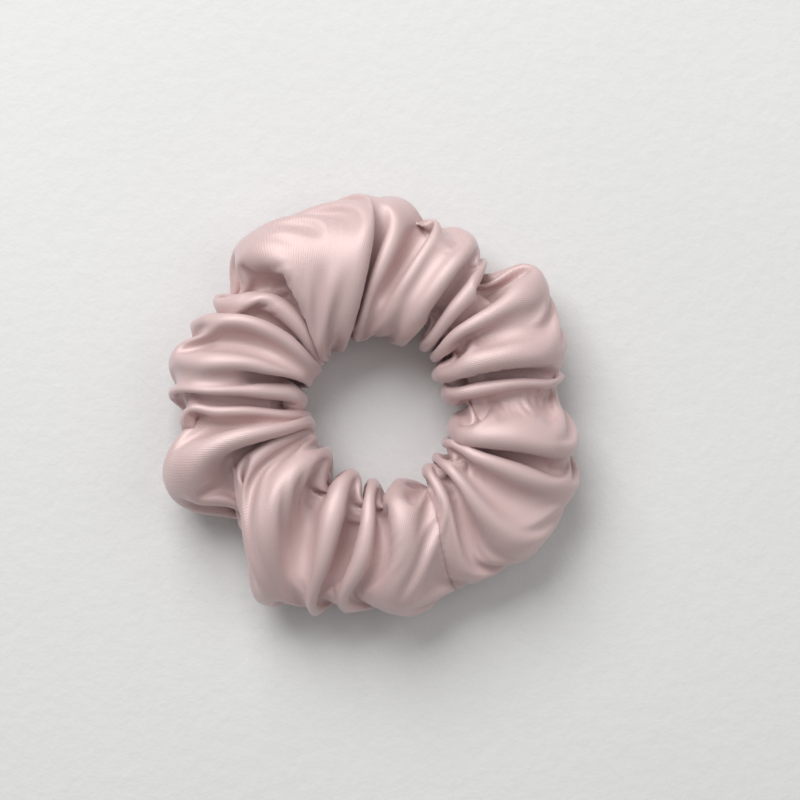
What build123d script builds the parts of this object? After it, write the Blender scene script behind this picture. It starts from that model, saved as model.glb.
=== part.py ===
from build123d import *

import os
from math import cos, pi, radians, sin

# A satin scrunchie lying flat: a tube of satin gathered round a loop of flat elastic.
# The sleeve is one strip of satin. A long seam turns the strip into a tube, a join seam
# closes the tube into a ring, and a few hand stitches close the gap in the long seam
# that the elastic went in through. The elastic's own ends overlap and are tacked
# together, and the finished loop lies loose in the sleeve, free to turn.
#
# The origin is on the resting plane, under the middle of the ring, and +Z is up.
# All sizes are in millimetres, and all angles in degrees.

# Driving dimensions of the ring
OUTER_DIAMETER = 110.0
HOLE_RADIUS = 18.0
HEIGHT = 26.0
PUFFS = 12
GATHER_REACH = 49.5  # how far out the sleeve reaches where it is drawn in between two puffs
GATHER_HEIGHT = 20.0

# Gathered satin, as thick as its folds are together
CLOTH = 1.0
HOLE_WALL_BOTTOM, HOLE_WALL_TOP = 5.5, 18.5  # the upright stretch of the sleeve round the hole
FOOT_INNER, FOOT_OUTER = 28.0, 43.0  # radii of the flat foot that the ring rests on
CREST_RADIUS = 36.0
BULGE = 0.42  # the height of the sleeve's widest place, as a share of its whole height
TRIM = 0.5  # how far the lofted skin runs past the hole and the foot, where it is cut true

# Flat elastic, joined into a loop that lies on edge behind the gathers
ELASTIC_RADIUS = 27.0
ELASTIC_WIDTH = 6.0
ELASTIC_THICKNESS = 1.0
ELASTIC_BOTTOM = 9.0
LAYER_GAP = 0.12
OVERLAP_ANGLE = 30.0
RAMP_ANGLE = 12.0

# Sewing thread and stitches
THREAD_RADIUS = 0.2
STITCH_LENGTH = 2.2
STITCH_STEP = 2.9
HAND_STITCH_LENGTH = 1.5
TACK_ROWS, TACK_COLUMNS = 3, 9
TACK_LENGTH = 1.4
TACK_SLOPE = 28.0  # how far each zigzag stitch leans from upright

# The long seam runs round the underside, and its allowances stand up inside the tube
LONG_SEAM_RADIUS = 40.0
ALLOWANCE_HEIGHT = 6.0
ALLOWANCE_THICKNESS = 0.9
SEAM_HEIGHT = 1.8  # the machine stitches through the allowances, above the resting plane
GAP_START, GAP_ANGLE = 200.0, 60.0  # the stretch of the long seam that is closed by hand

# The join seam crosses the tube at one azimuth, between two puffs
JOIN_ANGLE = -60.0
JOIN_OFFSET = 0.5  # its stitches lie this far to each side of where the tube's ends meet

half_puff = 180.0 / PUFFS
puff_reach = OUTER_DIAMETER / 2 / cos(radians(half_puff))  # so that the box is as wide as the ring


def radial_plane(azimuth):
    """The upright plane through the ring's axis at this azimuth, with x outward and y upward."""
    a = radians(azimuth)
    return Plane((0, 0, 0), x_dir=(cos(a), sin(a), 0), z_dir=(sin(a), -cos(a), 0))


def tube_outline(reach, height, inset, trim):
    """The tube's cross-section as a closed line, drawn in from its outer surface by inset."""
    hole = HOLE_RADIUS + inset - trim
    floor = inset - trim
    with BuildLine() as outline:
        foot = Line((FOOT_INNER, floor), (FOOT_OUTER, floor))
        outer = Spline(foot @ 1, (reach - inset, BULGE * height), tangents=((1, 0), (0, 1)))
        crown = Spline(outer @ 1, (CREST_RADIUS, height - inset), tangents=((0, 1), (-1, 0)))
        inner = Spline(crown @ 1, (hole, HOLE_WALL_TOP), tangents=((-1, 0), (0, -1)))
        wall = Line(inner @ 1, (hole, HOLE_WALL_BOTTOM))
        Spline(wall @ 1, foot @ 0, tangents=((0, -1), (1, 0)))
    return outline


def tube_section(azimuth, reach, height, inset, trim):
    """The tube's cross-section as a face on the upright plane at this azimuth."""
    with BuildSketch(radial_plane(azimuth)) as section:
        add(tube_outline(reach, height, inset, trim))
        make_face()
    return section.sketch


def puff(inset=0.0, trim=0.0):
    """One puff, from gather to gather, as a solid. With an inset it is the room inside."""
    with BuildPart() as made:
        loft(
            sections=[
                tube_section(-half_puff, GATHER_REACH, GATHER_HEIGHT, inset, trim),
                tube_section(0, puff_reach, HEIGHT, inset, trim),
                tube_section(half_puff, GATHER_REACH, GATHER_HEIGHT, inset, trim),
            ]
        )
    return made.part


def stitch_planes(path, azimuth, across):
    """Planes at even steps along a line of the cross-section, each facing along the line."""
    base = radial_plane(azimuth)
    count = round(path.length / STITCH_STEP)
    made = []
    for i in range(count):
        place = path.position_at((i + 0.5) / count)
        along = path.tangent_at((i + 0.5) / count)
        origin = base.origin + base.x_dir * place.X + base.y_dir * place.Y + base.z_dir * across
        made.append(Plane(origin, z_dir=base.x_dir * along.X + base.y_dir * along.Y))
    return made


def ring_stitches(radius, height, start, span):
    """Places for a row of stitches along an arc round the ring's axis."""
    count = round(radians(span) * radius / STITCH_STEP)
    made = []
    for i in range(count):
        a = radians(start + span * (i + 0.5) / count)
        made.append(Plane((radius * cos(a), radius * sin(a), height), z_dir=(-sin(a), cos(a), 0)))
    return made


def thread(planes, length=STITCH_LENGTH):
    """A sewing thread, as the row of stitches that show where it comes out of the cloth."""
    with BuildPart() as made:
        for plane in planes:
            with Locations(plane):
                Cylinder(THREAD_RADIUS, length)
    return made.part


# The sleeve: skin, room inside, and the long seam's allowances
skin_puff = puff(trim=TRIM)
room_puff = puff(inset=CLOTH)
with BuildPart() as sleeve:
    with PolarLocations(0, PUFFS, start_angle=half_puff):
        add(skin_puff)
    with PolarLocations(0, PUFFS, start_angle=half_puff):
        add(room_puff, mode=Mode.SUBTRACT)
    with BuildSketch(Plane.XY.offset(CLOTH / 2)):
        Circle(LONG_SEAM_RADIUS + ALLOWANCE_THICKNESS / 2)
        Circle(LONG_SEAM_RADIUS - ALLOWANCE_THICKNESS / 2, mode=Mode.SUBTRACT)
    extrude(amount=CLOTH / 2 + ALLOWANCE_HEIGHT)
    Cylinder(HOLE_RADIUS, 3 * HEIGHT, mode=Mode.SUBTRACT)
    split(bisect_by=Plane.XY, keep=Keep.TOP)
sleeve.part.label = "sleeve"

# The elastic: a strip that runs once round and then over its own start
outer_radius = ELASTIC_RADIUS + ELASTIC_THICKNESS + LAYER_GAP
with BuildPart() as elastic_band:
    with BuildSketch(Plane.XY.offset(ELASTIC_BOTTOM)):
        with BuildLine():
            under = CenterArc((0, 0), ELASTIC_RADIUS, 0, 360 - RAMP_ANGLE)
            over = CenterArc((0, 0), outer_radius, 0, OVERLAP_ANGLE)
            Spline(under @ 1, over @ 0, tangents=(under % 1, over % 0))
        trace(line_width=ELASTIC_THICKNESS)
    extrude(amount=ELASTIC_WIDTH)
elastic_band.part.label = "elastic_band"


def tack_planes(radius):
    """Places for the zigzag tack over the elastic's overlap, on the face at this radius."""
    lean = radians(TACK_SLOPE)
    made = []
    for row in range(TACK_ROWS):
        height = ELASTIC_BOTTOM + ELASTIC_WIDTH * (row + 0.5) / TACK_ROWS
        for column in range(TACK_COLUMNS):
            a = radians(OVERLAP_ANGLE * (column + 1) / (TACK_COLUMNS + 1))
            slope = lean if (column + row) % 2 else -lean
            direction = (-sin(a) * sin(slope), cos(a) * sin(slope), cos(slope))
            made.append(Plane((radius * cos(a), radius * sin(a), height), z_dir=direction))
    return made


elastic_tack_needle_thread = thread(tack_planes(outer_radius + ELASTIC_THICKNESS / 2), TACK_LENGTH)
elastic_tack_needle_thread.label = "elastic_tack_needle_thread"
elastic_tack_bobbin_thread = thread(tack_planes(ELASTIC_RADIUS - ELASTIC_THICKNESS / 2), TACK_LENGTH)
elastic_tack_bobbin_thread.label = "elastic_tack_bobbin_thread"

# The long seam: machine stitches on both faces of its allowances, and a hand-closed gap
sewn_start, sewn_span = GAP_START + GAP_ANGLE, 360 - GAP_ANGLE
face = ALLOWANCE_THICKNESS / 2
long_seam_needle_thread = thread(
    ring_stitches(LONG_SEAM_RADIUS + face, SEAM_HEIGHT, sewn_start, sewn_span)
)
long_seam_needle_thread.label = "long_seam_needle_thread"
long_seam_bobbin_thread = thread(
    ring_stitches(LONG_SEAM_RADIUS - face, SEAM_HEIGHT, sewn_start, sewn_span)
)
long_seam_bobbin_thread.label = "long_seam_bobbin_thread"
gap_slip_stitch_thread = thread(
    ring_stitches(LONG_SEAM_RADIUS, CLOTH / 2, GAP_START, GAP_ANGLE), HAND_STITCH_LENGTH
)
gap_slip_stitch_thread.label = "gap_slip_stitch_thread"

# The join seam: stitches round the inside of the tube, on both sides of where its ends meet
join_line = tube_outline(GATHER_REACH, GATHER_HEIGHT, CLOTH, 0).wires()[0]
join_seam_needle_thread = thread(stitch_planes(join_line, JOIN_ANGLE, JOIN_OFFSET))
join_seam_needle_thread.label = "join_seam_needle_thread"
join_seam_bobbin_thread = thread(stitch_planes(join_line, JOIN_ANGLE, -JOIN_OFFSET))
join_seam_bobbin_thread.label = "join_seam_bobbin_thread"

os.makedirs("parts", exist_ok=True)
for piece in (
    sleeve.part,
    elastic_band.part,
    elastic_tack_needle_thread,
    elastic_tack_bobbin_thread,
    long_seam_needle_thread,
    long_seam_bobbin_thread,
    gap_slip_stitch_thread,
    join_seam_needle_thread,
    join_seam_bobbin_thread,
):
    export_step(piece, f"parts/{piece.label}.step")
print("length of elastic", round(2 * pi * ELASTIC_RADIUS + radians(OVERLAP_ANGLE) * outer_radius, 1))
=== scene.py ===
import functools
import math

import bpy
import numpy as np
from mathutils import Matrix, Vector


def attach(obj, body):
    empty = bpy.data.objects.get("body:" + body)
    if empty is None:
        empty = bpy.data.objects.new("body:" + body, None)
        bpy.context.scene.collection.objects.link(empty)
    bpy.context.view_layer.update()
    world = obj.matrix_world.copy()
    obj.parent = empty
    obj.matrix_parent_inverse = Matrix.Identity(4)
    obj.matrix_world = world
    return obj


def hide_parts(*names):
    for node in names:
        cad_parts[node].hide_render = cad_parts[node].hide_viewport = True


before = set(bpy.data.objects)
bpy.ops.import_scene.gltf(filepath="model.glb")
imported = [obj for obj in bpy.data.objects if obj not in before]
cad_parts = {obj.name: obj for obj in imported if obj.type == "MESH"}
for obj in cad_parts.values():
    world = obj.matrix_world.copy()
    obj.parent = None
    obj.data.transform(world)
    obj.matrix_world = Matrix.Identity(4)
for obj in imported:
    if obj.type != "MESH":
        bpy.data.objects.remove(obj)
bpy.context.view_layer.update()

# A satin scrunchie lying flat. The sleeve is one strip of satin, gathered round a loop of
# elastic. It starts as a tube with the folds of FOLDS in it, which were judged from the
# photograph, and a small cloth solver then lets it settle: it bends, touches itself, and lies
# on the table. Its threads keep the lengths that thread_lengths gives them, and those come
# mostly from the folds. So the strip's flat size is true as a mean only: measured against its
# UV map, parts of the cloth are stretched or squeezed by a third.
# The solver works in millimetres, and the pieces are made in metres.

MM = 0.001

# The strip of satin, as it was cut
STRIP_LENGTH = 420.0  # between its end seams, as the mean of rows that differ
GIRTH = 96.0  # round the tube

# The tube's mean section, from the CAD ring
SECTION_CENTRE = (35.5, 12.0)  # radius and height
SECTION_SQUARENESS = 0.86  # 1 is an ellipse, and less is boxier
MEAN_REACH, MEAN_HOLE, MEAN_HEIGHT = 54.0, 18.0, 25.0
TABLE_GAP = 0.3  # under the tube, as it starts
CLOTH_FLOOR = 0.2  # as low as the cloth may settle

# Where round the section the folds are given: on top at radii of about 49, 40, 27 and 20,
# then down the wall of the hole, under the ring and up its outside (degrees, 0 is outward)
STATIONS = (45.0, 80.0, 115.0, 150.0, 200.0, 250.0, 300.0, 350.0)
SEAM_STATION = 281.0  # the long seam, on the underside
# How much cloth lies round the ring at each station, and how deep a crease may go there
ROW_LENGTH = (440.0, 450.0, 430.0, 385.0, 375.0, 390.0, 410.0, 430.0)
CREASE_LIMIT = (15.0, 15.0, 11.0, 8.6, 8.0, 6.5, 7.0, 11.0)
SHALLOWEST_CREASE = 0.05
LEAST_PITCH = 0.4  # of half a lobe
# The last four stations aren't in FOLDS. There, a crease has moved over by this share of its
# lobe, and it's as deep as this
WALL_DRIFT, UNDER_DRIFT, LOW_DRIFT, OUTSIDE_DRIFT = 0.15, 0.4, 0.45, 0.2
WALL_DEPTH = (0.75, 0.15)  # a share of its depth at radius 20, and what is added to that
UNDER_DEPTH = 0.7
OUTSIDE_DEPTH = 0.8  # averaged with its depth at radius 49

# The creases, anticlockwise from the join seam, each with the lobe that comes after it:
# azimuth at radii 20, 27, 40 and 49; how deep it is there, to be shared out; how open it is,
# from a tight crease at 0.8 to a broad hollow at 1.6; then the lobe: where its crest lies
# between its two creases, its reach, its hole radius, its height, and how far its crest leans
# over (to the left as seen from the middle of the ring).
FOLDS = (
    (-52, -54, -61, -65.5, 0.5, 0.5, 0.4, 0.7, 1.2, 0.45, 53.0, 20.5, 22.5, 0),
    (-42, -43, -52, -56, 0.7, 0.9, 1.1, 0.4, 1.6, 0.50, 57.5, 20.5, 24.5, 0),
    (-32, -33, -35, -32, 0.4, 0.7, 1.1, 0.4, 1.6, 0.65, 58.0, 21.0, 23.5, 1),
    (-23, -22, -18, -19, 0.9, 1.8, 2.2, 0.9, 0.8, 0.35, 54.0, 21.0, 26.5, -4),
    (5, 5.5, 6.5, 6, 1.2, 1.2, 1.0, 0.9, 1.0, 0.50, 50.0, 18.5, 21.0, 0),
    (18, 15, 11.5, 9, 1.3, 1.5, 1.7, 0.6, 0.8, 0.50, 54.0, 18.0, 26.5, -2),
    (34, 35.5, 30, 25, 0.9, 1.1, 1.3, 0.8, 0.9, 0.55, 57.5, 21.0, 24.0, 0),
    (43, 45, 45, 48.5, 0.6, 1.0, 2.0, 2.2, 1.3, 0.50, 48.0, 20.5, 24.0, 0),
    (57, 55, 55, 52.5, 1.5, 1.4, 1.7, 0.3, 1.2, 0.50, 52.0, 18.5, 25.5, -1),
    (70, 69, 67, 66, 0.05, 0.1, 0.6, 0.4, 1.6, 0.50, 51.5, 18.0, 24.0, 0),
    (89, 86.5, 77.5, 74, 0.05, 0.3, 1.9, 1.2, 1.1, 0.50, 55.0, 17.5, 23.5, 0),
    (109, 98, 90, 86.5, 1.3, 1.7, 2.0, 0.1, 1.2, 0.30, 56.5, 17.0, 27.0, -3),
    (119, 110, 102, 99.5, 0.1, 0.1, 0.1, 0.7, 1.6, 0.72, 55.5, 16.5, 26.5, 3),
    (134, 124, 125, 136, 1.3, 2.4, 2.6, 1.7, 1.4, 0.45, 49.0, 16.0, 22.5, 0),
    (140, 137.5, 142, 150, 1.2, 1.3, 1.7, 1.1, 0.9, 0.45, 51.0, 15.5, 25.0, -2),
    (151, 151, 153, 157, 0.2, 0.7, 1.9, 0.9, 1.5, 0.50, 53.5, 16.0, 25.5, 0),
    (159, 163.5, 169, 171, 1.5, 1.5, 0.3, 0.2, 1.6, 0.50, 52.0, 15.5, 23.5, 0),
    (179, 176, 178, 177, 0.9, 0.8, 0.9, 0.6, 1.2, 0.50, 49.0, 14.5, 21.5, 0),
    (187, 186.5, 184.8, 184, 0.3, 0.7, 1.8, 1.2, 0.8, 0.45, 58.0, 14.5, 26.0, 1),
    (198, 197, 201, 213, 1.1, 1.5, 1.6, 1.6, 0.8, 0.50, 45.0, 15.0, 21.0, 0),
    (202, 202, 206, 227, 0.2, 0.3, 0.4, 1.6, 1.0, 0.45, 58.5, 15.0, 26.5, 1),
    (242, 238, 246, 249, 1.4, 2.4, 2.1, 0.8, 1.1, 0.45, 55.0, 15.5, 24.5, 0),
    (264, 265, 260, 257, 0.8, 2.0, 2.8, 0.9, 1.4, 0.50, 53.0, 18.0, 24.0, 0),
    (274, 272.5, 272, 264, 0.8, 1.4, 1.6, 0.8, 0.9, 0.45, 55.0, 19.5, 26.5, -2),
)

# The solver's grid, first coarse and then twice as fine
COARSE_U, COARSE_V = 320, 72
COARSE_STEPS, FINE_STEPS = 240, 80
COARSE_GAP, FINE_GAP = 0.8, 0.5  # how near two layers of cloth come
GIRTH_FROM_FOLDS = 0.8  # how much of a thread's length round the tube is its own fold's
ROWS_FROM_FOLDS = 0.8  # and the same along the strip
COLUMNS_FOLLOW_FOLDS = 1.0  # 1 keeps each column of the grid in its fold, and 0 spaces them evenly
BENDING = (0.12, 0.1)  # resistance to sharp and to wider bends
HOLD = (0.1, 0.05, 0.03)  # how firmly the cloth is held to its folds: at first, midway, last
COARSE_FALL, FINE_FALL = 0.004, 0.002  # how far gravity moves the cloth in a step
COARSE_SPEED_KEPT, FINE_SPEED_KEPT = 0.9, 0.85  # from each step to the next
TOP_SPEED = 0.25  # in a step
PULLS = 2  # rounds of bringing the threads to their lengths, in a step
DIAGONAL_STRENGTH = 0.5  # the cloth shears more easily than it stretches
SEARCH_STEPS, SEARCH_REACH = 8, 1.8  # steps from one search for near layers to the next; in gaps
NEIGHBOURS = 2  # grid steps within which points aren't separate layers
PART_SHARE = 0.8  # how much of an overlap a step clears
ACROSS_BLUR, GIRTH_BLUR = 4, 5  # how far thread lengths are blurred, in grid steps
ELASTIC_KEEPOUT = (27.5, 12.0, 1.9, 3.8)  # radius, height, and half its width and height

# The sleeve's mesh: how its edges are turned in, and how its seams sink into the cloth
STRIP_STEP_U, STRIP_STEP_V = STRIP_LENGTH / 640, GIRTH / 144  # of the grid, on the flat strip
TURNING_LINES, TURNING_STRIDE = 4, 3  # lines of points in a turning, and grid steps between
TURNING_GAP = 0.35  # between a turning and the cloth that it lies on
SEAM_DIP, SEAM_DIP_WIDTH = 0.3, 1.3  # its depth, and half its width in grid steps
PUCKER = 0.25  # how much the join seam's dip varies
STITCH_STEPS = 4  # grid steps from one pucker to the next

# The sewing threads
THREAD_RADIUS = 0.13
STITCH, STITCH_BOW, STITCH_DEPTH = 2.2, 0.15, 0.45  # length, bow sideways, depth under the dip
HAND_STITCH, HAND_REACH, HAND_DEPTH = 2.4, 0.45, 0.5  # length, reach sideways, depth
HAND_STEP, CROSSING_WIDTH = 0.2, 0.35  # between the path's points, and of a stitch's crossing
GAP_START, GAP_END = 200.0, 260.0  # the turning gap's azimuths

# Colours of the satin and of its painted highlight, the gleam; its weave in millimetres, with its depth in
# metres
SATIN_DARK = (0.58, 0.405, 0.385, 1)
SATIN_LIGHT = (0.66, 0.485, 0.465, 1)
SATIN_GLEAM = (0.88, 0.80, 0.80, 1)
RIB_PITCH = 0.55
WEAVE_DEPTH = 0.00004

# Colours of the rest
ELASTIC_DARK, ELASTIC_LIGHT = (0.52, 0.49, 0.45, 1), (0.86, 0.84, 0.80, 1)
ROSE_THREAD_DARK, ROSE_THREAD_LIGHT = (0.52, 0.35, 0.33, 1), (0.72, 0.54, 0.52, 1)
WHITE_THREAD_DARK, WHITE_THREAD_LIGHT = (0.62, 0.60, 0.56, 1), (0.88, 0.86, 0.82, 1)
FLOOR_DARK, FLOOR_LIGHT = (0.72, 0.72, 0.715, 1), (0.81, 0.81, 0.81, 1)

# The camera, in metres
CAMERA_DISTANCE, VIEW_WIDTH = 0.75, 0.2056
CAMERA_TARGET = (0.00745, 0.0023, 0.012)
CAMERA_DIRECTION = (0, -0.03, 1)
SKY_STRENGTH = 0.32


# --- the folded tube that the cloth starts from ---------------------------------------


def closed_curve(knots, values, at):
    """Smooth periodic interpolation, over 360 degrees, of values given at the knots."""
    order = np.argsort(knots)
    knots = np.asarray(knots, float)[order]
    values = np.asarray(values, float)[..., order]
    n = len(knots)
    at = (np.asarray(at, float) - knots[0]) % 360 + knots[0]
    k = np.searchsorted(knots, at, side="right") - 1

    def place(i):
        return knots[i % n] + 360 * (i // n)

    def slope(i):
        before = (values[..., i % n] - values[..., (i - 1) % n]) / (place(i) - place(i - 1))
        after = (values[..., (i + 1) % n] - values[..., i % n]) / (place(i + 1) - place(i))
        return (before + after) / 2

    span = place(k + 1) - place(k)
    t = (at - place(k)) / span
    start = (2 * t**3 - 3 * t**2 + 1) * values[..., k] + (t**3 - 2 * t**2 + t) * slope(k) * span
    end = (3 * t**2 - 2 * t**3) * values[..., (k + 1) % n] + (t**3 - t**2) * slope(k + 1) * span
    return start + end


def section(angle, reach, hole, height):
    """The radius and height of a point of the tube's section, at an angle round it."""
    c, s = np.cos(angle), np.sin(angle)
    out = np.sign(c) * np.abs(c) ** SECTION_SQUARENESS
    up = np.sign(s) * np.abs(s) ** SECTION_SQUARENESS
    radius, middle = SECTION_CENTRE
    wide = np.where(out > 0, reach - radius, radius - hole)
    high = np.where(up > 0, height - middle, middle - TABLE_GAP)
    return radius + wide * out, middle + high * up


def row_angles(rows):
    """The angles of evenly spaced rows round the section, from the long seam to the hole."""
    angle = np.linspace(0, 2 * np.pi, 1441)
    r, z = section(angle, MEAN_REACH, MEAN_HOLE, MEAN_HEIGHT)
    run = np.concatenate([[0], np.cumsum(np.hypot(np.diff(r), np.diff(z)))])
    seam = np.interp(np.radians(SEAM_STATION), angle, run)
    return np.interp((seam - np.arange(rows) / rows * run[-1]) % run[-1], run, angle)


SWINGS = np.linspace(0, 2.1, 211)
LOBE_T = np.linspace(0, 1, 97)


def half_lobe_slope(swing, openness):
    """The cloth's slope along half a lobe, from the crease to the crest."""
    return swing * np.sin(np.pi * LOBE_T**openness)


@functools.lru_cache(None)
def steepness(openness):
    """Depth over pitch of the half lobes of every swing."""
    slopes = half_lobe_slope(SWINGS[:, None], openness)
    return np.sin(slopes).mean(axis=1) / np.cos(slopes).mean(axis=1)


def running_share(values):
    """The running total of a curve's values, as a share of the whole."""
    run = np.concatenate([[0], np.cumsum(values[1:] + values[:-1])])
    return run / run[-1]


def half_lobe(depth, pitch, rising, openness):
    """Half a lobe of this depth and pitch, as shares of its pitch and of its depth."""
    swing = max(np.interp(depth / pitch, steepness(openness), SWINGS), 1e-3)
    slope = half_lobe_slope(swing, openness)
    if not rising:
        slope = slope[::-1]
    return running_share(np.cos(slope))[:-1], running_share(np.sin(slope))[:-1]


def folded_tube(columns, rows):
    """The gathered tube's points, column by row."""
    table = np.array(FOLDS, float)
    at20, at27, at40, at49 = table[:, 0], table[:, 1], table[:, 2], table[:, 3]
    deep20, deep27, deep40, deep49 = table[:, 4], table[:, 5], table[:, 6], table[:, 7]
    openness, share, reach, hole, height, lean = table[:, 8:].T
    lobe49 = np.append(at49[1:], at49[0] + 360) - at49
    lobe20 = np.append(at20[1:], at20[0] + 360) - at20
    wall = at20 + WALL_DRIFT * lobe20
    under = (at20 + at49) / 2 + UNDER_DRIFT * lobe49
    low_down = at49 + LOW_DRIFT * lobe49
    outside = at49 + OUTSIDE_DRIFT * lobe49
    azimuths = np.stack([at49, at40, at27, at20, wall, under, low_down, outside], 1)
    deep_wall = WALL_DEPTH[0] * deep20 + WALL_DEPTH[1]
    deep_under = np.full(len(table), UNDER_DEPTH)
    deep_outside = (deep49 + OUTSIDE_DEPTH) / 2
    depths = np.stack(
        [deep49, deep40, deep27, deep20, deep_wall, deep_under, deep_under, deep_outside], 1
    )
    rings = []
    for angle in row_angles(rows):
        station = math.degrees(angle)
        crease = closed_curve(STATIONS, azimuths, station)
        depth = np.clip(closed_curve(STATIONS, depths, station), SHALLOWEST_CREASE, None)
        limit = closed_curve(STATIONS, CREASE_LIMIT, station)
        wanted = closed_curve(STATIONS, ROW_LENGTH, station)
        following = np.append(crease[1:], crease[0] + 360)
        crest = crease + share * (following - crease)
        radius = section(angle, MEAN_REACH, MEAN_HOLE, MEAN_HEIGHT)[0]
        before = section(angle - 0.02, MEAN_REACH, MEAN_HOLE, MEAN_HEIGHT)
        after = section(angle + 0.02, MEAN_REACH, MEAN_HOLE, MEAN_HEIGHT)
        along = np.array([after[0] - before[0], after[1] - before[1]])
        normal = np.array([along[1], -along[0]]) / np.hypot(*along)
        leaning = np.degrees(lean / radius) * max(0.0, math.sin(angle)) ** 0.5

        def ring(scale):
            deep = limit * np.tanh(scale * depth / limit)
            deep_next, open_next = np.roll(deep, -1), np.roll(openness, -1)
            azimuth, inset = [], []
            for i in range(len(table)):
                for low, high, size, rising, wide in (
                    (crease[i], crest[i], deep[i], True, openness[i]),
                    (crest[i], following[i], deep_next[i], False, open_next[i]),
                ):
                    pitch = max(math.radians(high - low) * radius, LEAST_PITCH)
                    x, y = half_lobe(size, pitch, rising, wide)
                    rise = y if rising else 1 - y
                    azimuth.append(low + (high - low) * x + leaning[i] * rise**1.5)
                    inset.append(size * (rise - 1))
            azimuth, inset = np.concatenate(azimuth), np.concatenate(inset)
            around = crest % 360
            r, z = section(
                angle,
                closed_curve(around, reach, azimuth),
                closed_curve(around, hole, azimuth),
                closed_curve(around, height, azimuth),
            )
            r, z, a = r + normal[0] * inset, z + normal[1] * inset, np.radians(azimuth)
            made = np.stack([r * np.cos(a), r * np.sin(a), z], 1)
            made = np.concatenate([made, made[:1]])
            steps = np.linalg.norm(np.diff(made, axis=0), axis=1)
            return made, np.concatenate([[0], np.cumsum(steps)])

        # the depths are scaled until the row is as long as it should be
        low, high = 0.0, 40.0
        for _ in range(14):
            middle = (low + high) / 2
            if ring(middle)[1][-1] < wanted:
                low = middle
            else:
                high = middle
        rings.append(ring(middle))

    # each half lobe has the same columns in every row, as many as its mean length needs
    stops = np.arange(2 * len(table) + 1) * (len(LOBE_T) - 1)
    ends = np.stack([run[stops] for _, run in rings])
    mean = ends.mean(0) / ends.mean(0)[-1]
    column = np.arange(columns) / columns
    points = np.zeros((columns, rows, 3))
    for j, (made, run) in enumerate(rings):
        evenly = column * run[-1]
        by_fold = np.interp(column, mean, ends[j])
        place = evenly + COLUMNS_FOLLOW_FOLDS * (by_fold - evenly)
        for c in range(3):
            points[:, j, c] = np.interp(place, run, made[:, c])
    return points


# --- the cloth solver -----------------------------------------------------------------


def links(columns, rows, across, along):
    """Pairs of grid points this far apart, in two groups where no point comes twice."""
    i, j = np.meshgrid(np.arange(columns), np.arange(rows), indexing="ij")
    key = (i // across) % 2 if across else (j // abs(along)) % 2
    pairs = []
    for group in (0, 1):
        chosen = key == group
        first = i[chosen] * rows + j[chosen]
        second = (i[chosen] + across) % columns * rows + (j[chosen] + along) % rows
        pairs.append((first, second))
    return pairs


def pull(x, first, second, rest, strength, push_only=False):
    """Moves each pair of points towards its rest length."""
    a, b = x[first], x[second]
    d = b - a
    length = np.sqrt(np.einsum("ij,ij->i", d, d)) + 1e-9
    error = length - rest[first]
    if push_only:
        error = np.minimum(error, 0.0)
    d *= (strength / 2 * error / length)[:, None]
    x[first] = a + d
    x[second] = b - d


def near_pairs(x, reach, columns, rows):
    """Pairs of points nearer than reach that aren't neighbours in the cloth."""
    cell = np.floor((x - x.min(0) + reach) / reach).astype(np.int64)
    size = cell.max(0) + 3
    code = (cell[:, 0] * size[1] + cell[:, 1]) * size[2] + cell[:, 2]
    order = np.argsort(code, kind="stable")
    code = code[order]
    first, second = [], []
    for dx, dy, dz in np.ndindex(3, 3, 3):
        step = (dx - 1, dy - 1, dz - 1)
        if step < (0, 0, 0):
            continue
        wanted = code + (step[0] * size[1] + step[1]) * size[2] + step[2]
        start = np.searchsorted(code, wanted, side="left")
        stop = np.searchsorted(code, wanted, side="right")
        if step == (0, 0, 0):
            start = np.arange(len(order)) + 1
        count = np.maximum(stop - start, 0)
        offset = np.repeat(start - np.concatenate([[0], np.cumsum(count)[:-1]]), count)
        first.append(order[np.repeat(np.arange(len(order)), count)])
        second.append(order[np.arange(count.sum()) + offset])
    first, second = np.concatenate(first), np.concatenate(second)
    d = x[first] - x[second]
    close = np.einsum("ij,ij->i", d, d) < reach * reach
    first, second = first[close], second[close]
    across = np.abs(first // rows - second // rows)
    across = np.minimum(across, columns - across)
    along = np.abs(first % rows - second % rows)
    along = np.minimum(along, rows - along)
    apart = (across > NEIGHBOURS) | (along > NEIGHBOURS)
    return first[apart], second[apart]


def part(x, first, second, gap):
    """Pushes layers of cloth apart where they come nearer than the gap."""
    d = x[second] - x[first]
    length = np.sqrt(np.einsum("ij,ij->i", d, d)) + 1e-9
    close = length < gap
    first, second, d, length = first[close], second[close], d[close], length[close]
    push = d * ((length - gap) / 2 / length)[:, None]
    both, shove = np.concatenate([first, second]), np.concatenate([push, -push])
    count = np.bincount(both, minlength=len(x))
    share = PART_SHARE * np.minimum(count, 2) / np.maximum(count, 1)
    for c in range(3):
        x[:, c] += np.bincount(both, shove[:, c], minlength=len(x)) * share


def keep_off_elastic(x):
    """Keeps points out of the space round the loop of elastic."""
    radius, height, half_width, half_height = ELASTIC_KEEPOUT
    r = np.hypot(x[:, 0], x[:, 1])
    out, up = r - radius, x[:, 2] - height
    inside = np.nonzero((np.abs(out) < half_width) & (np.abs(up) < half_height))[0]
    side = half_width - np.abs(out[inside])
    top = half_height - np.abs(up[inside])
    sideways = side < top
    x[inside, :2] *= (1 + np.where(sideways, np.sign(out[inside]) * side, 0) / r[inside])[:, None]
    x[inside, 2] += np.where(sideways, 0, np.sign(up[inside]) * top)


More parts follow.
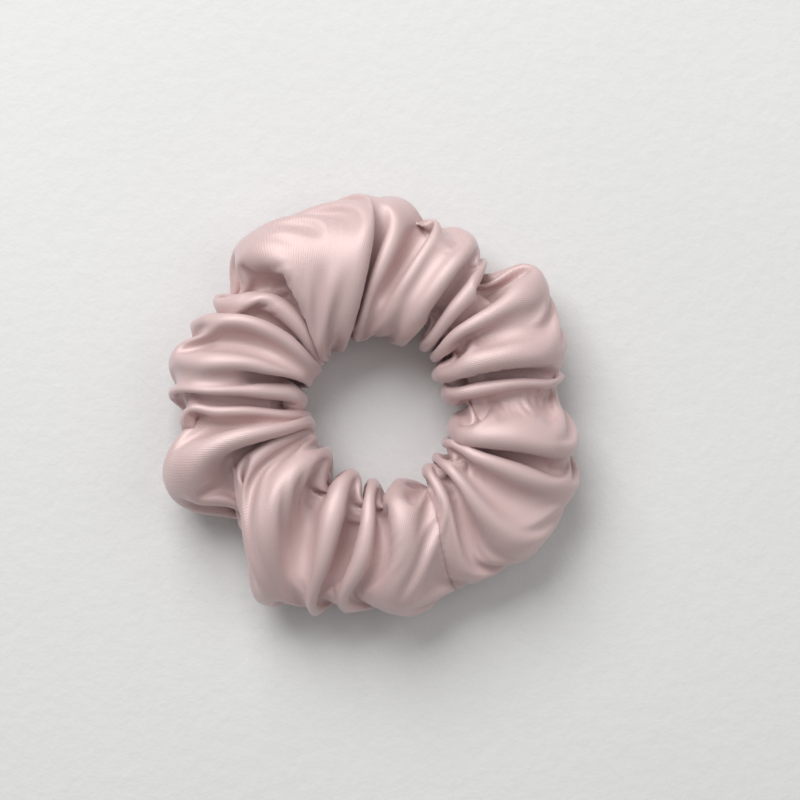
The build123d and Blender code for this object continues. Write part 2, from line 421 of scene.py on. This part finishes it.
def settle(grid, across, around, steps, gap, guide, hold, fall, speed_kept):
    """Lets the cloth settle. across and around are its threads' lengths between points.

    hold says how firmly each step draws the cloth to the guide. It isn't a real force: it
    stands for the grip of the gathers.
    """
    columns, rows = grid.shape[:2]
    x = grid.reshape(-1, 3).copy()
    guide = guide.reshape(-1, 3)
    across, around = across.ravel(), around.ravel()
    diagonal = np.hypot(across, around)
    bends = []
    for reach, strength in zip((1, 2), BENDING):
        bends.append((links(columns, rows, 2 * reach, 0), 2 * reach * across, strength))
        bends.append((links(columns, rows, 0, 2 * reach), 2 * reach * around, strength))
    threads = (
        (links(columns, rows, 1, 1), diagonal, DIAGONAL_STRENGTH),
        (links(columns, rows, 1, -1), diagonal, DIAGONAL_STRENGTH),
        (links(columns, rows, 1, 0), across, 1.0),
        (links(columns, rows, 0, 1), around, 1.0),
    )
    old = x.copy()
    for step in range(steps):
        speed = np.clip((x - old) * speed_kept, -TOP_SPEED, TOP_SPEED)
        old = x.copy()
        x += speed
        x[:, 2] -= fall
        x += (guide - x) * hold[step]
        for _ in range(PULLS):
            for groups, rest, strength in bends:
                for first, second in groups:
                    pull(x, first, second, rest, strength, push_only=True)
            for groups, rest, strength in threads:
                for first, second in groups:
                    pull(x, first, second, rest, strength)
        if step % SEARCH_STEPS == 0:
            pairs = near_pairs(x, SEARCH_REACH * gap, columns, rows)
        part(x, *pairs, gap)
        keep_off_elastic(x)
        x[:, 2] = np.maximum(x[:, 2], CLOTH_FLOOR)
    return x.reshape(grid.shape)


def doubled(grid):
    """The grid with a point added between every two, on a smooth curve through them."""
    for axis in (0, 1):
        middle = 9 * (grid + np.roll(grid, -1, axis))
        middle = middle - np.roll(grid, 1, axis) - np.roll(grid, -2, axis)
        grid = np.stack([grid, middle / 16], axis + 1)
        shape = list(grid.shape)
        shape[axis : axis + 2] = [shape[axis] * 2]
        grid = grid.reshape(shape)
    return grid


def smoothed(values, reach, axis):
    """Values of the closed grid, blurred one way."""
    weights = np.hanning(2 * reach + 1)[1:-1]
    moved = [w * np.roll(values, k, axis) for k, w in zip(range(1 - reach, reach), weights)]
    return sum(moved) / weights.sum()


def thread_lengths(start):
    """The lengths of the cloth's threads between grid points, along the strip and round the tube.

    They lie between those of an even strip and those of the folded start, and nearer the start.
    """
    across = np.linalg.norm(np.roll(start, -1, 0) - start, axis=2)
    even = np.broadcast_to(across.mean(0), across.shape)
    across = even + ROWS_FROM_FOLDS * (smoothed(across, ACROSS_BLUR, 0) - even)
    girth = np.linalg.norm(np.roll(start, -1, 1) - start, axis=2).sum(1)
    girth = GIRTH + GIRTH_FROM_FOLDS * (smoothed(girth, GIRTH_BLUR, 0) - GIRTH)
    around = np.repeat(girth[:, None] / start.shape[1], start.shape[1], 1)
    return across, around


def gathered_satin():
    """The sleeve's cloth as it lies, as a closed grid of points in millimetres."""
    start = folded_tube(COARSE_U, COARSE_V)
    across, around = thread_lengths(start)
    hold = np.interp(np.arange(COARSE_STEPS) / COARSE_STEPS, (0, 0.5, 1), HOLD)
    coarse = settle(
        start, across, around, COARSE_STEPS, COARSE_GAP, start, hold, COARSE_FALL, COARSE_SPEED_KEPT
    )
    fine = doubled(coarse)
    across, around = (doubled(lengths[..., None])[..., 0] / 2 for lengths in (across, around))
    hold = np.full(FINE_STEPS, HOLD[-1] / 2)
    return settle(
        fine, across, around, FINE_STEPS, FINE_GAP, fine, hold, FINE_FALL, FINE_SPEED_KEPT
    )


# --- meshes ---------------------------------------------------------------------------


def unit(vectors):
    """The vectors, each one long."""
    return vectors / (np.linalg.norm(vectors, axis=-1, keepdims=True) + 1e-12)


def new_piece(name, points, faces, uv, material):
    """A smooth mesh of quads from points in millimetres, with a UV map in millimetres."""
    mesh = bpy.data.meshes.new(name)
    mesh.vertices.add(len(points))
    mesh.vertices.foreach_set("co", (points * MM).ravel())
    mesh.loops.add(faces.size)
    mesh.loops.foreach_set("vertex_index", faces.ravel())
    mesh.polygons.add(len(faces))
    mesh.polygons.foreach_set("loop_start", np.arange(len(faces)) * 4)
    mesh.polygons.foreach_set("use_smooth", np.ones(len(faces), bool))
    mesh.update(calc_edges=True)
    mesh.uv_layers.new(name="cloth").data.foreach_set("uv", uv.ravel())
    mesh.materials.append(material)
    piece = bpy.data.objects.new(name, mesh)
    bpy.context.scene.collection.objects.link(piece)
    return piece


def grid_faces(first, second):
    """Quads of a grid with this many points each way, and facing outward on the sleeve."""
    i, j = np.meshgrid(np.arange(first - 1), np.arange(second - 1), indexing="ij")
    a = i * second + j
    return np.stack([a, a + 1, a + second + 1, a + second], -1).reshape(-1, 4)


def outward(grid):
    """The cloth's outward direction at every point of the closed grid."""
    along = np.roll(grid, -1, 0) - np.roll(grid, 1, 0)
    around = np.roll(grid, -1, 1) - np.roll(grid, 1, 1)
    return unit(np.cross(around, along))


def with_turnings(count):
    """One way of the strip, turning by turning: each line's place, and whether it's turned in."""
    turned = np.arange(TURNING_LINES) * TURNING_STRIDE
    place = np.concatenate([-turned[::-1], np.arange(count + 1), count + turned])
    inside = np.ones(len(place), bool)
    inside[TURNING_LINES:-TURNING_LINES] = False
    return place, inside


def folded_back(place, count):
    """Where each line lies on the closed grid, and how far it is from the seam."""
    back = np.where(place < 0, -place, np.where(place > count, 2 * count - place, place))
    return back % count, np.minimum(back, count - back)


def sleeve_mesh(grid, material):
    """The whole strip of satin, with its edges turned in along both seams."""
    columns, rows = grid.shape[:2]
    (i, in_i), (j, in_j) = with_turnings(columns), with_turnings(rows)
    fi, from_join = folded_back(i, columns)
    fj, from_long = folded_back(j, rows)
    join_dip = SEAM_DIP * np.exp(-((from_join / SEAM_DIP_WIDTH) ** 2))
    long_dip = SEAM_DIP * np.exp(-((from_long / SEAM_DIP_WIDTH) ** 2))
    pucker = 1 + PUCKER * np.cos(2 * np.pi * np.arange(len(fj)) / STITCH_STEPS)
    inset = TURNING_GAP * (in_i[:, None] * 1.0 + in_j[None])
    inset = inset + join_dip[:, None] * pucker[None] + long_dip[None]
    points = grid[fi][:, fj] - outward(grid)[fi][:, fj] * inset[..., None]
    faces = grid_faces(len(i), len(j))
    across, around = np.meshgrid(i * STRIP_STEP_U, j * STRIP_STEP_V, indexing="ij")
    uv = np.stack([across, around], -1).reshape(-1, 2)[faces]
    return new_piece("sleeve_satin", points.reshape(-1, 3), faces, uv, material)


def thread_tube(path, radius, closed, sides=6):
    """Points, faces and UVs of a round thread along a path."""
    tangent = unit(np.roll(path, -1, 0) - np.roll(path, 1, 0))
    if not closed:
        tangent[0] = unit(path[1] - path[0])
        tangent[-1] = unit(path[-1] - path[-2])
    up = unit(np.cross(tangent, np.cross([[0.3, 0.2, 1.0]], tangent)))
    side = np.cross(tangent, up)
    turn = np.arange(sides) * 2 * np.pi / sides
    ring = np.cos(turn)[None, :, None] * side[:, None] + np.sin(turn)[None, :, None] * up[:, None]
    points = (path[:, None] + radius * ring).reshape(-1, 3)
    n = len(path)
    i, j = np.meshgrid(np.arange(n if closed else n - 1), np.arange(sides), indexing="ij")
    here, there, beside = i * sides, (i + 1) % n * sides, (j + 1) % sides
    faces = np.stack([here + j, there + j, there + beside, here + beside], -1)
    run = np.concatenate([[0], np.cumsum(np.linalg.norm(np.diff(path, axis=0), axis=1))])
    run = np.append(run, run[-1] + np.linalg.norm(path[0] - path[-1]))
    lengthwise = np.stack([run[i], run[i + 1], run[i + 1], run[i]], -1)
    crosswise = np.stack([j, j, j + 1, j + 1], -1) * 2 * np.pi * radius / sides
    uv = np.stack([lengthwise, crosswise], -1)
    return points, faces.reshape(-1, 4), uv.reshape(-1, 2)


class SeamLine:
    """A line of the settled cloth, with its sideways and inward directions."""

    def __init__(self, grid, lengthwise):
        normal = outward(grid)
        if lengthwise:
            self.points, self.inward = grid[:, 0], -normal[:, 0]
            beside = np.roll(grid, -1, 1)[:, 0] - np.roll(grid, 1, 1)[:, 0]
        else:
            self.points, self.inward = grid[0], -normal[0]
            beside = grid[1] - grid[-1]
        self.side = unit(beside)
        step = np.linalg.norm(np.roll(self.points, -1, 0) - self.points, axis=1)
        self.run = np.concatenate([[0], np.cumsum(step)])

    def at(self, distance, values):
        """Values along the line, at these distances along it."""
        closed = np.concatenate([values, values[:1]])
        where = distance % self.run[-1]
        return np.stack([np.interp(where, self.run, closed[:, c]) for c in range(3)], 1)

    def path(self, distance, sideways, inwards):
        """Points beside the line and inside it."""
        return (
            self.at(distance, self.points)
            + self.at(distance, self.side) * sideways[:, None]
            + self.at(distance, self.inward) * inwards[:, None]
        )

    def distance_at(self, azimuth):
        """How far along the line this azimuth is, in degrees."""
        a = np.degrees(np.arctan2(self.points[:, 1], self.points[:, 0]))
        return self.run[np.argmin(np.abs((a - azimuth + 180) % 360 - 180))]


def machine_thread(line, start, end, hand, name, nodes, closed=False):
    """One of a lockstitch seam's two threads. hand is 1 or -1, the side that it lies on."""
    stitches = round((end - start) / STITCH)
    distance = np.linspace(start, end, 6 * stitches + 1)
    if closed:
        distance = distance[:-1]
    wave = np.abs(np.sin(np.pi * (distance - start) / (end - start) * stitches))
    sideways = hand * (THREAD_RADIUS + STITCH_BOW * wave)
    path = line.path(distance, sideways, np.full(len(distance), SEAM_DIP + STITCH_DEPTH))
    return sewn(path, name, nodes, closed)


def slip_thread(line, start, end, name, nodes):
    """The hand-sewn thread, which runs inside one fold, crosses over and runs in the other."""
    distance = np.linspace(start, end, round((end - start) / HAND_STEP))
    turns = (distance - start) / HAND_STITCH
    sideways = HAND_REACH * np.tanh(5 * np.cos(np.pi * turns))
    crossing = np.exp(-((((turns % 1) - 0.5) * HAND_STITCH / CROSSING_WIDTH) ** 2))
    inwards = HAND_DEPTH - (HAND_DEPTH + THREAD_RADIUS) * crossing
    return sewn(line.path(distance, sideways, inwards), name, nodes, False)


def sewn(path, name, nodes, closed):
    """A thread along this path, which rides with the sleeve and stands for CAD nodes."""
    piece = new_piece(name, *thread_tube(path, THREAD_RADIUS, closed), thread_material)
    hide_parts(*nodes)
    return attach(piece, "sleeve")


# --- materials ------------------------------------------------------------------------


class Shader:
    """A Principled material, and short ways to add nodes to it."""

    def __init__(self, name, **sockets):
        self.material = bpy.data.materials.new(name)
        self.material.use_nodes = True
        self.tree = self.material.node_tree
        self.surface = self.tree.nodes["Principled BSDF"]
        for socket, value in sockets.items():
            self.surface.inputs[socket.replace("_", " ")].default_value = value

    def add(self, kind, settings=None, **sockets):
        """A node. A socket's value is a number or colour, or another node's output.

        A socket without a name of its own is given by its number, as _0.
        """
        node = self.tree.nodes.new("ShaderNode" + kind)
        for key, value in (settings or {}).items():
            setattr(node, key, value)
        for socket, value in sockets.items():
            place = node.inputs[int(socket[1:]) if socket[1:].isdigit() else socket.replace("_", " ")]
            if isinstance(value, bpy.types.NodeSocket):
                self.tree.links.new(value, place)
            else:
                place.default_value = value
        return node

    def link(self, output, socket):
        """Joins a node's output to a socket of the surface."""
        self.tree.links.new(output, self.surface.inputs[socket])

    def math(self, operation, a, b=0.0, c=0.0):
        """The output of one sum."""
        return self.add("Math", {"operation": operation}, _0=a, _1=b, _2=c).outputs[0]

    def noise(self, vector, scale, detail=2.0, roughness=0.5):
        """Soft noise from 0 to 1."""
        node = self.add("TexNoise", Vector=vector, Scale=scale, Detail=detail, Roughness=roughness)
        return node.outputs["Fac"]

    def ramp(self, factor, low, high):
        """Two colours mixed by the factor."""
        node = self.add("MixRGB", Fac=factor, Color1=low, Color2=high)
        return node.outputs["Color"]

    def separate(self, vector):
        """A vector's three parts."""
        return self.add("SeparateXYZ", Vector=vector).outputs

    def wave(self, place, pitch):
        """A smooth wave from 0 to 1 of this pitch."""
        turn = self.math("MULTIPLY", place, 2 * math.pi / pitch)
        return self.math("MULTIPLY_ADD", self.math("SINE", turn), 0.5, 0.5)

    def bump(self, height, depth, strength=1.0):
        """A bump of this depth in metres."""
        node = self.add("Bump", Strength=strength, Distance=depth, Height=height)
        return node.outputs["Normal"]


def satin():
    """Dusty-rose satin: fine slanting ribs, uneven yarns, a soft gloss along the yarns, and a painted
    highlight on the ribs' crests.
    """
    s = Shader(
        "satin",
        Metallic=0.18,
        Specular_IOR_Level=0.9,
        Sheen_Weight=0.35,
        Sheen_Roughness=0.35,
        Sheen_Tint=(0.86, 0.89, 1.0, 1),
        Coat_Weight=0.4,
        Coat_Roughness=0.5,
        Coat_IOR=1.6,
        Coat_Tint=(0.98, 0.97, 1.0, 1),
        Anisotropic=0.55,
    )
    uv = s.add("UVMap", {"uv_map": "cloth"}).outputs["UV"]
    u, v = s.separate(uv)[:2]
    slant = s.math("MULTIPLY_ADD", v, 0.45, u)
    ribs = s.wave(slant, RIB_PITCH)
    floats = s.wave(s.math("MULTIPLY_ADD", u, -0.3, v), RIB_PITCH * 0.8)
    drawn_out = s.add("Mapping", {"vector_type": "POINT"}, Vector=uv, Scale=(0.35, 3.0, 1.0))
    yarns = s.noise(drawn_out.outputs[0], 1.0, 3.0, 0.6)
    slubs = s.noise(uv, 2.2, 2.0, 0.6)
    patches = s.noise(uv, 0.045, 2.0)
    weave = s.math("MULTIPLY_ADD", ribs, 0.78, s.math("MULTIPLY", floats, 0.22))
    height = s.math("MULTIPLY_ADD", s.math("SUBTRACT", slubs, 0.5), 1.5, weave)
    tone = s.ramp(patches, SATIN_DARK, SATIN_LIGHT)
    # The base colour is drawn towards SATIN_GLEAM on the ribs' crests and floats, which is painted highlight
    # on the weave, and along the lighter yarns, which is partly the yarns' uneven tone
    shade = s.math("MULTIPLY_ADD", weave, 0.14, s.math("MULTIPLY_ADD", yarns, 0.16, -0.08))
    s.link(s.ramp(shade, tone, SATIN_GLEAM), "Base Color")
    s.link(s.math("MULTIPLY_ADD", yarns, 0.22, 0.4), "Roughness")
    s.link(s.bump(height, WEAVE_DEPTH), "Normal")
    tangent = s.add("Tangent", {"direction_type": "UV_MAP", "uv_map": "cloth"})
    s.link(tangent.outputs[0], "Tangent")
    return s.material


def knitted_elastic():
    """Off-white flat elastic: rubber ribs along it, crossed by fine yarns."""
    s = Shader("knitted_elastic", Sheen_Weight=0.2, Specular_IOR_Level=0.3)
    place = s.add("TexCoord").outputs["Object"]
    x, y, z = s.separate(place)[:3]
    run = s.math("MULTIPLY", s.math("ARCTAN2", y, x), ELASTIC_KEEPOUT[0] * MM)
    ribs = s.wave(z, 0.8 * MM)
    yarns = s.wave(s.math("MULTIPLY_ADD", ribs, 0.1 * MM, run), 0.45 * MM)
    height = s.math("MULTIPLY_ADD", ribs, 0.7, s.math("MULTIPLY", yarns, 0.3))
    wear = s.noise(place, 900.0, 3.0)
    shade = s.math("MULTIPLY_ADD", wear, 0.4, s.math("MULTIPLY", height, 0.6))
    s.link(s.ramp(shade, ELASTIC_DARK, ELASTIC_LIGHT), "Base Color")
    s.link(s.math("MULTIPLY_ADD", yarns, 0.15, 0.6), "Roughness")
    s.link(s.bump(height, 0.00015), "Normal")
    return s.material


def sewing_thread():
    """Rose polyester thread, twisted from plies, with a UV map along it."""
    s = Shader("sewing_thread", Sheen_Weight=0.3, Specular_IOR_Level=0.5)
    uv = s.add("UVMap", {"uv_map": "cloth"}).outputs["UV"]
    u, v = s.separate(uv)[:2]
    plies = s.wave(s.math("MULTIPLY_ADD", u, 0.9, v), 0.25)
    fuzz = s.noise(uv, 9.0, 2.0)
    shade = s.math("MULTIPLY_ADD", fuzz, 0.3, s.math("MULTIPLY", plies, 0.7))
    s.link(s.ramp(shade, ROSE_THREAD_DARK, ROSE_THREAD_LIGHT), "Base Color")
    s.link(s.math("MULTIPLY_ADD", fuzz, 0.2, 0.45), "Roughness")
    s.link(s.bump(plies, 0.00002), "Normal")
    return s.material


def tack_thread():
    """White polyester thread of the elastic's tack, twisted from plies."""
    s = Shader("tack_thread", Sheen_Weight=0.3, Specular_IOR_Level=0.5)
    place = s.add("TexCoord").outputs["Object"]
    x, y, z = s.separate(place)[:3]
    plies = s.wave(s.math("ADD", s.math("ADD", x, y), z), 0.3 * MM)
    fuzz = s.noise(place, 6000.0, 2.0)
    shade = s.math("MULTIPLY_ADD", fuzz, 0.3, s.math("MULTIPLY", plies, 0.7))
    s.link(s.ramp(shade, WHITE_THREAD_DARK, WHITE_THREAD_LIGHT), "Base Color")
    s.link(s.math("MULTIPLY_ADD", fuzz, 0.2, 0.45), "Roughness")
    s.link(s.bump(plies, 0.00004), "Normal")
    return s.material


def pale_cloth_floor():
    """The off-white ground: soft and matt, with faint mottling."""
    s = Shader("floor", Specular_IOR_Level=0.2)
    place = s.add("TexCoord").outputs["Object"]
    clouds = s.noise(place, 9.0, 3.0)
    nap = s.noise(place, 260.0, 4.0, 0.65)
    shade = s.math("MULTIPLY_ADD", nap, 0.4, s.math("MULTIPLY", clouds, 0.6))
    s.link(s.ramp(shade, FLOOR_DARK, FLOOR_LIGHT), "Base Color")
    s.link(s.math("MULTIPLY_ADD", nap, 0.1, 0.85), "Roughness")
    s.link(s.bump(nap, 0.0008, 0.3), "Normal")
    return s.material


# --- the sleeve and its threads -------------------------------------------------------

cloth = gathered_satin()
thread_material = sewing_thread()

sleeve = sleeve_mesh(cloth, satin())
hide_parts("sleeve")
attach(sleeve, "sleeve")

long_seam, join_seam = SeamLine(cloth, lengthwise=True), SeamLine(cloth, lengthwise=False)
gap_from, gap_to = long_seam.distance_at(GAP_START), long_seam.distance_at(GAP_END)
seam_length = long_seam.run[-1]
machine_thread(long_seam, gap_to, gap_from + seam_length, 1, "long_seam_needle", ["long_seam_needle_thread"])
machine_thread(long_seam, gap_to, gap_from + seam_length, -1, "long_seam_bobbin", ["long_seam_bobbin_thread"])
slip_thread(long_seam, gap_from, gap_to, "gap_slip_stitch", ["gap_slip_stitch_thread"])
girth = join_seam.run[-1]
machine_thread(join_seam, 0, girth, 1, "join_seam_needle", ["join_seam_needle_thread"], closed=True)
machine_thread(join_seam, 0, girth, -1, "join_seam_bobbin", ["join_seam_bobbin_thread"], closed=True)


# --- the elastic, which the CAD model has ---------------------------------------------


def paint(node, material):
    """Gives a CAD node a material."""
    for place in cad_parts[node].material_slots:
        place.material = material


white_thread = tack_thread()
paint("elastic_band", knitted_elastic())
paint("elastic_tack_needle_thread", white_thread)
paint("elastic_tack_bobbin_thread", white_thread)


# --- floor, light and camera ----------------------------------------------------------


def floor(half=2.0):
    """A flat floor under the scrunchie."""
    mesh = bpy.data.meshes.new("floor")
    corners = [(-half, -half, 0), (half, -half, 0), (half, half, 0), (-half, half, 0)]
    mesh.from_pydata(corners, [], [(0, 1, 2, 3)])
    mesh.materials.append(pale_cloth_floor())
    made = bpy.data.objects.new("floor", mesh)
    bpy.context.scene.collection.objects.link(made)


def softbox(name, place, size, power):
    """A square white area light that faces the scrunchie."""
    light = bpy.data.lights.new(name, "AREA")
    light.size, light.energy = size, power
    made = bpy.data.objects.new(name, light)
    made.location = place
    made.rotation_euler = Vector(place).to_track_quat("Z", "Y").to_euler()
    bpy.context.scene.collection.objects.link(made)


def camera():
    """The photograph's camera, which looks almost straight down."""
    data = bpy.data.cameras.new("camera")
    data.lens = data.sensor_width * CAMERA_DISTANCE / VIEW_WIDTH
    made = bpy.data.objects.new("camera", data)
    direction = Vector(CAMERA_DIRECTION).normalized()
    made.location = Vector(CAMERA_TARGET) + CAMERA_DISTANCE * direction
    made.rotation_euler = direction.to_track_quat("Z", "Y").to_euler()
    bpy.context.scene.collection.objects.link(made)
    bpy.context.scene.camera = made


def sky():
    """Even white light from all round."""
    world = bpy.data.worlds.new("sky")
    world.use_nodes = True
    background = world.node_tree.nodes["Background"]
    background.inputs["Color"].default_value = (1.0, 0.995, 0.985, 1)
    background.inputs["Strength"].default_value = SKY_STRENGTH
    bpy.context.scene.world = world


floor()
softbox("window", (-0.35, 0.75, 0.8), size=0.85, power=13)
softbox("fill", (0.8, 0.2, 0.9), size=0.8, power=2)
sky()
camera()
bpy.context.scene.view_settings.view_transform = "Standard"
